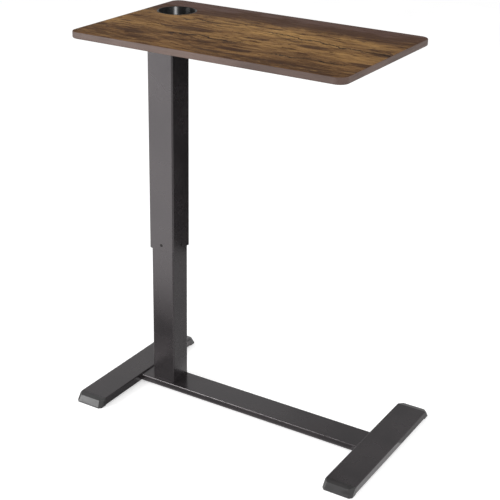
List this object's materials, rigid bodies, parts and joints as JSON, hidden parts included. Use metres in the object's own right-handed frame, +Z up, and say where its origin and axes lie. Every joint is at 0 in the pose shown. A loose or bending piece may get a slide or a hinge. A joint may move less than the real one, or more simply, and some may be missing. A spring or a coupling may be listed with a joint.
{
  "type": "overbed table",
  "caption": "C-shaped overbed table: wood-grain top with a drop-in cup holder on a gas-lift telescoping column and a flat two-foot base.",
  "frame": {"origin": "on the floor, at the middle of the base's length and depth", "axes": "+Z up, +X along the tabletop away from the column, +Y towards the tabletop's rear long edge, which the cup holder is near"},
  "size_m": [0.738, 0.406, 0.9],
  "materials": {
    "frame_paint": "semi-gloss black powder coat",
    "inner_steel": "satin black paint",
    "zinc_fasteners": "zinc plated",
    "end_caps": "satin moulded",
    "nylon": "moulded nylon",
    "polished_rod": "ground and chromed",
    "set_screws": "black oxide",
    "cylinder_paint": "gloss black",
    "brass_inserts": "turned",
    "wood_board": "rustic brown wood-grain laminate, satin",
    "edge_band": "mauve-brown edge band, satin",
    "grip_plastic": "fine moulded texture",
    "cup_plastic": "gloss black"
  },
  "bodies": {
    "base": {"base_bar": "frame_paint", "left_foot": "frame_paint", "right_foot": "frame_paint", "left_tongue": "inner_steel", "right_tongue": "inner_steel", "foot_screws": "zinc_fasteners", "left_front_cap": "end_caps", "left_rear_cap": "end_caps", "right_front_cap": "end_caps", "right_rear_cap": "end_caps", "column_base_plate": "inner_steel", "column_bolts": "zinc_fasteners", "inner_tube": "frame_paint", "upper_glide": "nylon", "gas_rod": "polished_rod", "gas_piston": "zinc_fasteners", "rod_nut": "zinc_fasteners"},
    "upper": {"outer_tube": "frame_paint", "lower_glide": "nylon", "glide_screws": "set_screws", "cylinder_seat": "inner_steel", "gas_cylinder": "cylinder_paint", "rod_gland": "zinc_fasteners", "cylinder_nut": "zinc_fasteners", "top_plate": "frame_paint", "front_rail": "frame_paint", "rear_rail": "frame_paint", "plate_bolts": "zinc_fasteners", "rail_screws": "zinc_fasteners", "board_inserts": "brass_inserts", "tabletop": "wood_board", "edge_band": "edge_band", "pivot_pin": "zinc_fasteners", "pivot_spacers": "nylon", "pivot_clip": "zinc_fasteners"},
    "lever": {"release_lever": "inner_steel", "lever_grip": "grip_plastic"},
    "valve": {"valve_pin": "polished_rod"},
    "cup": {"cup_holder": "cup_plastic"}
  },
  "joints": [
    {"name": "column_lift", "type": "slide", "parent": "base", "child": "upper", "axis": [0, 0, 1], "range_m": [-0.2, 0.08]},
    {"name": "lever_lift", "type": "hinge", "parent": "upper", "child": "lever", "pos_m": [-0.217, 0, 0.856], "axis": [0, -1, 0], "range_deg": [0, 12], "stiffness_Nm_per_rad": 4, "springref_deg": -11.46},
    {"name": "valve_press", "type": "slide", "parent": "upper", "child": "valve", "axis": [0, 0, -1], "range_m": [0, 0.004]},
    {"name": "cup_lift_out", "type": "slide", "parent": "upper", "child": "cup", "axis": [0, 0, 1], "range_m": [0, 0.07]}
  ],
  "couplings": [
    {"joint": "valve_press", "follows": "lever_lift", "m_per_rad": 0.018}
  ]
}
